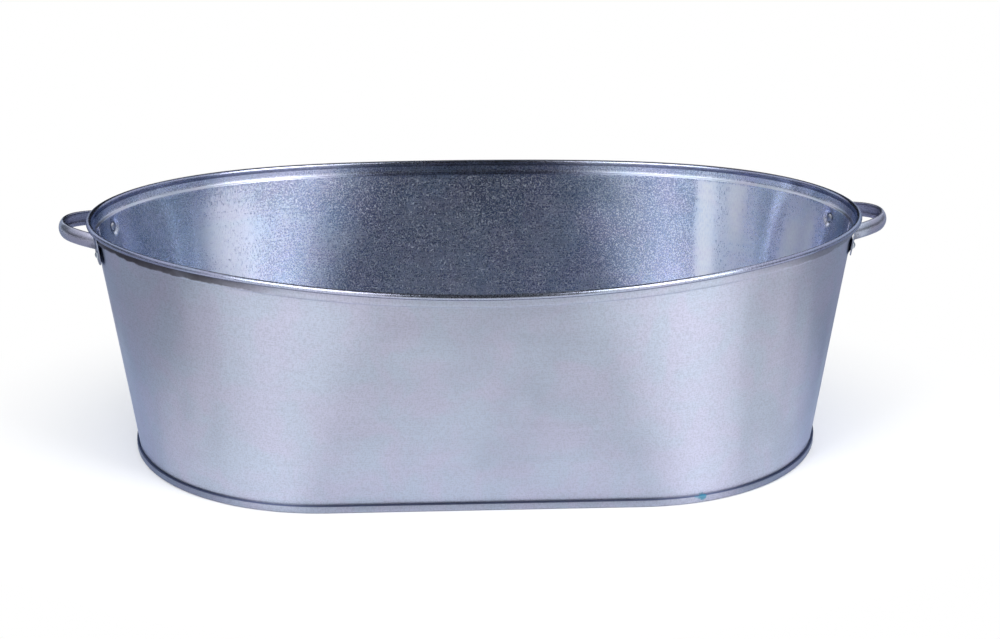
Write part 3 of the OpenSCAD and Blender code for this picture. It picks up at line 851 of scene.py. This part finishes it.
def zinc_shade(g, p, zone, tone, grain, lines, wall):
    """The zinc's colour, without streaks and single marks."""
    def toned(*factors):
        """The tone times one factor, or times one each for red, green and blue."""
        return [c * factor for c, factor in zip(tone, factors if len(factors) == 3 else factors * 3)]

    shade = g.mix(g.spread(p.patch, 0.36, 0.64), toned(0.955, 1.015, 1.0), toned(1.03, 0.985, 1.005))
    shade = g.mix(g.times(g.spread(p.stain, 0.42, 0.72), 0.28), shade, toned(0.86))
    shade = g.mix(g.times(p.crystal, 0.08 * grain), shade, toned(1.16))
    bluish = g.times(zone.inside, g.spread(p.blue, 0.50, 0.72, 0.0, 0.55))
    shade = g.mix(bluish, shade, toned(0.78, 0.98, 1.04))
    shade = g.mix(g.spread(p.rolled, 0.34, 0.66, 0.0, 0.14 * lines), shade, toned(0.6))
    depth = g.plus(g.times(zone.inside, -0.20 * grain), 0.32 * grain)
    shade = g.mix(g.times(g.spread(p.weave, 0.53, 0.44), depth), shade, toned(0.5))
    # painted light: the inner skin of each piece made lighter than its outer skin
    shade = g.tint(zone.inside, shade, INNER_PAINTED_LIGHT)
    # painted shade: the inner wall darker in its middle
    if wall:
        shade = g.tint(zone.middle, shade, MIDDLE_PAINTED_SHADE)
    # painted shade: the foot of the collar darker in the middle of the inner wall, over the highlight it
    # catches
    shade = g.tint(g.times(zone.middle, zone.collar_foot), shade, COLLAR_FOOT_PAINTED_SHADE)
    shine = g.plus(g.times(zone.specked, 0.78 * grain), 0.05 * grain)
    shade = g.mix(g.times(p.sparkle, shine), shade, SPECK)
    shade = g.tint(g.times(zone.bead, 0.6), shade, BEAD_SHADE)
    # painted shade: the outer wall darker at its lower ends, and the seam band darker towards its ends
    if wall:
        shade = g.tint(zone.flank, shade, FLANK_PAINTED_SHADE)
    shade = g.tint(g.times(zone.skirt_end, 0.9), shade, SKIRT_END_PAINTED_SHADE)
    # painted shade: the rim's bead darker towards its ends
    shade = g.tint(g.times(zone.bead_end, 0.75), shade, BEAD_END_PAINTED_SHADE)
    # dirt and painted shadow in the crevice above the bottom seam, painted shadow lines at the foot of the
    # bead, and the band under the rim darker at its ends
    for place, share, dirt in ((zone.crevice, 0.84, CREVICE_DIRT_AND_SHADOW), (zone.bead_line, 0.75, BEAD_LINE_SHADOW),
                               (zone.dirt_band, 0.92, BAND_DARK)):
        shade = g.mix(g.times(place, share), shade, dirt)
    return shade


def paint_reflection_streaks(g, p, zone, sheet, shade, streaks):
    """Painted reflections as soft upright streaks on the inner wall, pale and dark; returns the colour and how
    much they dull the zinc.
    """
    dulled = g.times(zone.inside, -0.12)
    if not streaks:
        return shade, dulled
    run, rise, _ = g.split(sheet)
    run = g.plus(run, g.times(g.stretched(sheet, (60, 12, 1), 2.0, 0.5), STREAK_WAVER))
    threads = g.times(zone.open_wall, g.spread(p.upright, 0.36, 0.62, 0.3, 1.0))
    for at, reach, gain, height in streaks:
        near = g.spread(g.math("ABSOLUTE", g.minus(run, at + STREAK_WAVER / 2)), reach, 0.0)
        near = g.times(near, threads, g.spread(rise, *height))
        shade = g.mix(g.times(near, abs(gain) * 0.9), shade, PAINTED_PALE_REFLECTION if gain > 0 else PAINTED_DARK_REFLECTION)
        if gain > 0:
            dulled = g.plus(dulled, g.times(near, STREAK_DULLS * gain))
    return shade, dulled


def draw_marks(g, where, shade, marks):
    """Single marks with an uneven edge, each at a point of the tub."""
    for point, reach, colour, share in marks:
        away = g.add("ShaderNodeVectorMath", {0: where, 1: point}, operation="DISTANCE").outputs["Value"]
        uneven = g.times(g.minus(g.noise(where, 380.0, 2.0, 0.5), 0.5), reach * 0.9)
        shade = g.mix(g.times(g.spread(g.plus(away, uneven), reach, reach * 0.6), share), shade, colour)
    return shade


def zinc(name, tone, rough, grain=1.0, lines=1.0, anisotropy=0.88, wall=False, streaks=(), marks=()):
    """Hot-dip zinc on rolled sheet: woven grain, rolling lines, specks, patches of another tint, a rubbed
    rim, a band under the rim outside darker at its ends, dirt and painted shadow in the crevice above the
    bottom seam, painted shadow lines at the foot of the rim's bead, painted light on the inner skin, painted
    shade in the middle of the inner wall and at the outer ends, painted reflections as streaks, and single
    marks."""
    material, g = new_material(name)
    place = g.add("ShaderNodeTexCoord").outputs
    where, sheet = place["Object"], place["UV"]
    p = zinc_patterns(g, where, sheet)
    zone = zinc_zones(g, where, p.stain, wall)
    shade = zinc_shade(g, p, zone, tone, grain, lines, wall)
    shade, dulled = paint_reflection_streaks(g, p, zone, sheet, shade, streaks)
    shade = draw_marks(g, where, shade, marks)

    roughness = g.plus(
        g.spread(p.stain, 0.35, 0.7, -0.02, 0.05), g.spread(p.rolled, 0.3, 0.7, -0.03, 0.03),
        g.times(g.spread(p.weave, 0.44, 0.56), 0.05 * grain),
        g.times(g.plus(zone.crevice, zone.dirt_band), 0.2), dulled,
        g.times(p.sparkle, zone.specked, 0.42 * grain),
        g.times(zone.collar_foot, g.minus(1.0, zone.middle), 0.1), g.times(zone.bead, -0.14), rough)

    grooves = g.bump(0.16 * lines, 0.0001, p.rolled)
    woven = g.bump(g.plus(g.times(zone.inside, -0.08 * grain), 0.30 * grain), 0.0002, p.weave, grooves)
    tangent = g.add("ShaderNodeTangent", direction_type="UV_MAP").outputs[0]
    shader = g.add("ShaderNodeBsdfPrincipled", {
        "Base Color": shade, "Metallic": 1.0, "Roughness": roughness, "Specular Tint": EDGE_TINT,
        "Anisotropic": anisotropy, "Anisotropic Rotation": 0.25, "Tangent": tangent,
        "Normal": g.bump(0.2, 0.0005, p.waves, woven)})
    g.add("ShaderNodeOutputMaterial", {"Surface": shader.outputs[0]})
    return material


def wire_metal():
    material, g = new_material("drawn_wire")
    where = g.add("ShaderNodeTexCoord").outputs["Object"]
    stain = g.noise(where, 30.0, 4.0, 0.6)
    shader = g.add("ShaderNodeBsdfPrincipled", {
        "Base Color": g.mix(g.spread(stain, 0.35, 0.7), (0.34, 0.35, 0.37), (0.5, 0.51, 0.53)),
        "Metallic": 1.0, "Roughness": g.spread(stain, 0.3, 0.7, 0.35, 0.55),
        "Normal": g.bump(0.3, 0.0001, g.noise(where, 900.0, 2.0, 0.5))})
    g.add("ShaderNodeOutputMaterial", {"Surface": shader.outputs[0]})
    return material


# Studio

CARD_DISTANCE = 2.1
CARD_EYE = 0.15
CARD_TINT = (0.94, 0.97, 1.03)
CARD_LIFT = 0.002
FLOOR_REACH = 6.0
FLOOR_DROP = 0.0004

# Upright cards round the tub: azimuth from the front toward the right, half width, and bands of elevation
# with their tone, all angles in degrees
FLAGS = (
    (3, 21, ((-3, 64, 0.02),)),
    (-46, 13, ((-2, 18, 0.6),)),
    (-76, 16, ((-2, 15, 0.08), (15, 34, 0.7))),
    (76, 16, ((-2, 15, 0.10), (15, 34, 0.65))),
    (-108, 16, ((0, 15, 0.16), (15, 36, 0.25))),
    (108, 16, ((0, 15, 0.14), (15, 36, 0.75))),
    (-140, 16, ((0, 15, 0.6),)),
    (140, 16, ((0, 15, 0.6),)),
    (180, 24, ((0, 36, 0.03), (36, 62, 0.15))))

# Cards on the floor, with their outlines and shades
PALE_CARD = (0.48, 0.49, 0.55)
GREY_CARD = (0.33, 0.34, 0.39)
FLOOR_CARDS = {
    "left_floor_flag": (((-0.52, -0.1), (-0.9, -0.65), (-2.0, -0.65), (-2.0, 2.0), (-0.62, 0.9)), PALE_CARD),
    "right_floor_flag": (((0.50, 0.08), (1.0, -0.25), (2.0, -0.25), (2.0, 2.0), (0.62, 0.9)), PALE_CARD),
    "back_floor_flag": (((-0.62, 0.9), (0.62, 0.9), (2.0, 2.0), (-2.0, 2.0)), GREY_CARD)}


def square(half, z):
    return [(-half, -half, z), (half, -half, z), (half, half, z), (-half, half, z)]


def flat_object(name, corners):
    mesh = bpy.data.meshes.new(name)
    mesh.from_pydata(corners, [], [tuple(range(len(corners)))])
    return add_object(name, mesh)


def light_panel(name, place, aim, size, power):
    data = bpy.data.lights.new(name, "AREA")
    data.shape = "RECTANGLE"
    data.size, data.size_y = size
    data.energy = power
    lamp = add_object(name, data)
    lamp.location = place
    lamp.rotation_euler = (Vector(aim) - Vector(place)).to_track_quat("-Z", "Y").to_euler()


def card(name, corners, shade):
    """A flat card beside the set that glows evenly in its own tone, seen only in the metal, as a
    photographer's flag is.
    """
    obj = flat_object(name, corners)
    material, g = new_material(name)
    paint = g.add("ShaderNodeEmission", {"Color": (*shade, 1), "Strength": 1.0})
    g.add("ShaderNodeOutputMaterial", {"Surface": paint.outputs[0]})
    obj.data.materials.append(material)
    obj.visible_camera = False
    obj.visible_shadow = False
    obj.visible_diffuse = False


def flag(azimuth, half_width, low, high, tone):
    """A card that stands upright round the tub; azimuth 0 is in front, 90 to the right."""
    low_z, high_z = (CARD_EYE + CARD_DISTANCE * math.tan(math.radians(up)) for up in (low, high))
    corners = []
    for turn, z in ((-half_width, low_z), (half_width, low_z), (half_width, high_z), (-half_width, high_z)):
        a = math.radians(azimuth + turn)
        reach = CARD_DISTANCE / math.cos(math.radians(turn))
        corners.append((reach * math.sin(a), -reach * math.cos(a), z))
    card(f"flag_{azimuth}_{low}".replace("-", "m"), corners, [tone * c for c in CARD_TINT])


def seen_itself(g):
    """1 where a ray comes from the camera, out of a mirror or through glass."""
    path = g.add("ShaderNodeLightPath").outputs
    return g.most(path["Is Camera Ray"], path["Is Transmission Ray"], path["Is Glossy Ray"])


def air():
    world = bpy.data.worlds.new("studio_air")
    bpy.context.scene.world = world
    world.use_nodes = True
    g = Graph(world.node_tree)
    soft = g.add("ShaderNodeBackground", {"Color": (0.95, 0.97, 1.0, 1), "Strength": 0.82})
    white = g.add("ShaderNodeBackground", {"Color": (1, 1, 1, 1), "Strength": 1.0})
    mixed = g.add("ShaderNodeMixShader", {0: seen_itself(g), 1: soft.outputs[0], 2: white.outputs[0]})
    g.add("ShaderNodeOutputWorld", {"Surface": mixed.outputs[0]})


def pale_floor():
    """A pale floor that takes the tub's shadow, and is plain white away from it."""
    floor = flat_object("studio_floor", square(FLOOR_REACH, 0))
    floor.location.z = -FLOOR_DROP
    material, g = new_material("pale_floor")
    x, y, _ = g.split(g.add("ShaderNodeTexCoord").outputs["Object"])
    across = g.times(x, 0.75)
    away = g.math("SQRT", g.plus(g.times(across, across), g.times(y, y)))
    open_floor = g.times(g.spread(away, 0.28, 0.48), seen_itself(g))
    paint = g.add("ShaderNodeBsdfDiffuse", {"Color": (0.93, 0.93, 0.93, 1)})
    glow = g.add("ShaderNodeEmission", {"Color": (1, 1, 1, 1), "Strength": 1.0})
    mixed = g.add("ShaderNodeMixShader", {0: open_floor, 1: paint.outputs[0], 2: glow.outputs[0]})
    g.add("ShaderNodeOutputMaterial", {"Surface": mixed.outputs[0]})
    floor.data.materials.append(material)


def studio():
    air()
    pale_floor()
    for azimuth, half_width, bands in FLAGS:
        for low, high, tone in bands:
            flag(azimuth, half_width, low, high, tone)
    card("ceiling_card", square(1.2, 2.6), (0.05, 0.05, 0.055))
    for name, (outline, shade) in FLOOR_CARDS.items():
        card(name, [(x, y, CARD_LIFT) for x, y in outline], shade)
    light_panel("right_softbox", (1.36, -1.26, 1.75), (0.05, 0, 0.2), (0.95, 2.1), 27)
    light_panel("left_softbox", (-1.24, -1.38, 2.05), (-0.05, 0, 0.2), (1.1, 2.0), 27)


def camera():
    """The photograph's view, fitted to the rim, the bottom seam and the side outlines."""
    place = Vector((-83.4, -1861.1, 787.5)) * MM
    forward = Vector((0.0544, 0.9404, -0.3356)).normalized()
    right = Vector((0.9984, -0.0562, 0.0043))
    right = (right - forward * right.dot(forward)).normalized()
    up = right.cross(forward)
    data = bpy.data.cameras.new("photo_camera")
    data.lens = 67.28
    data.sensor_width = 36.0
    data.clip_start = 0.05
    data.clip_end = 50
    cam = add_object("photo_camera", data)
    cam.matrix_world = Matrix([
        [right.x, up.x, -forward.x, place.x],
        [right.y, up.y, -forward.y, place.y],
        [right.z, up.z, -forward.z, place.z],
        [0, 0, 0, 1]])
    bpy.context.scene.camera = cam


# The tub


def at_feet(out, reach, colour, share):
    """The same mark round all four rivets, at a distance out of the wall's line."""
    x, y, z = from_foot([[out, 0, 0]])[0] * MM
    return [((x * sx, y * sy, z), reach, colour, share) for sx in (1, -1) for sy in (1, -1)]


# Marks: a point of the tub in metres, reach, colour and strength
DARK_MARK = (0.05, 0.055, 0.07)
TEAL_MARK = (0.03, 0.22, 0.33)
RIM_MARKS = [((0.3856 * side, 0.058, 0.2425), 0.0028, DARK_MARK, 0.85) for side in (1, -1)]
TEAL_DABS = [((0.2140, -0.2003, 0.0070), 0.0058, TEAL_MARK, 0.8),
             ((0.2075, -0.2020, 0.0070), 0.0030, TEAL_MARK, 0.5)]
# dirt and painted shade: a dark ring round each rivet tail inside, in the dimple there
TAIL_RINGS = at_feet(COLLAR_STEP - SHEET, 0.0070, (0.12, 0.13, 0.17), 0.85)
# painted shadow: the handles' foot plates darkened round their rivets
FOOT_PLATE_SHADOW = at_feet(FOOT_STAND, 0.0150, (0.17, 0.175, 0.21), 0.7)

# Painted reflections as streaks on the inner wall: place along the half sheet in metres, reach, strength,
# which is negative for a dark one, and the heights up the sheet where it starts and is full
ALL_THE_WAY = (-0.01, 0.0)
PAINTED_REFLECTION_STREAKS = (
    (0.190, 0.060, 0.5, ALL_THE_WAY), (0.222, 0.018, 1.0, ALL_THE_WAY),
    (0.182, 0.016, 0.8, (0.14, 0.185)), (0.144, 0.016, -0.6, ALL_THE_WAY),
    (0.092, 0.045, 0.5, ALL_THE_WAY), (0.104, 0.018, 1.0, (0.215, 0.185)),
    (0.078, 0.016, 0.8, (0.225, 0.195)), (0.290, 0.035, -0.25, ALL_THE_WAY),
    (0.022, 0.022, -0.5, ALL_THE_WAY), (0.788, 0.060, 0.7, (0.26, 0.16)),
    (0.890, 0.100, -0.9, ALL_THE_WAY), (0.852, 0.045, -0.6, ALL_THE_WAY),
    (0.355, 0.095, -0.9, (0.175, 0.205)), (0.860, 0.075, -0.9, (0.205, 0.230)))

FINISHES = {
    "wall_zinc": zinc("wall_zinc", (0.548, 0.578, 0.715), 0.34, wall=True, streaks=PAINTED_REFLECTION_STREAKS,
                      marks=RIM_MARKS + TAIL_RINGS + TEAL_DABS),
    "pan_zinc": zinc("pan_zinc", (0.43, 0.455, 0.57), 0.34, marks=TEAL_DABS),
    "handle_zinc": zinc("handle_zinc", (0.46, 0.48, 0.61), 0.27, grain=0.5, lines=0.5, anisotropy=0.5,
                        marks=FOOT_PLATE_SHADOW),
    "rivet_zinc": zinc("rivet_zinc", (0.50, 0.53, 0.60), 0.30, grain=0.5, lines=0.3, anisotropy=0.2)}
RIVETS = {"right_back_rivet": AS_DRAWN, "right_front_rivet": MIRRORED,
          "left_back_rivet": (-1, 1, 1), "left_front_rivet": HALF_TURN}


def finish_piece(obj, node, slot):
    obj.data.materials.append(FINISHES[slot])
    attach(obj, "root")
    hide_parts(node)


finish_piece(half_wall("back_sheet", AS_DRAWN), "back_wall", "wall_zinc")
finish_piece(half_wall("front_sheet", HALF_TURN), "front_wall", "wall_zinc")
finish_piece(bottom_pan("pan_sheet"), "bottom_pan", "pan_zinc")
finish_piece(handle("right_strap", AS_DRAWN), "right_handle", "handle_zinc")
finish_piece(handle("left_strap", HALF_TURN), "left_handle", "handle_zinc")
for number, (node, scale) in enumerate(RIVETS.items()):
    finish_piece(rivet(node.replace("rivet", "stud"), scale, number * 1.7), node, "rivet_zinc")
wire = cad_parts["rim_wire"].data
wire.materials.clear()
wire.materials.append(wire_metal())

studio()
camera()
bpy.context.scene.view_settings.view_transform = "Standard"
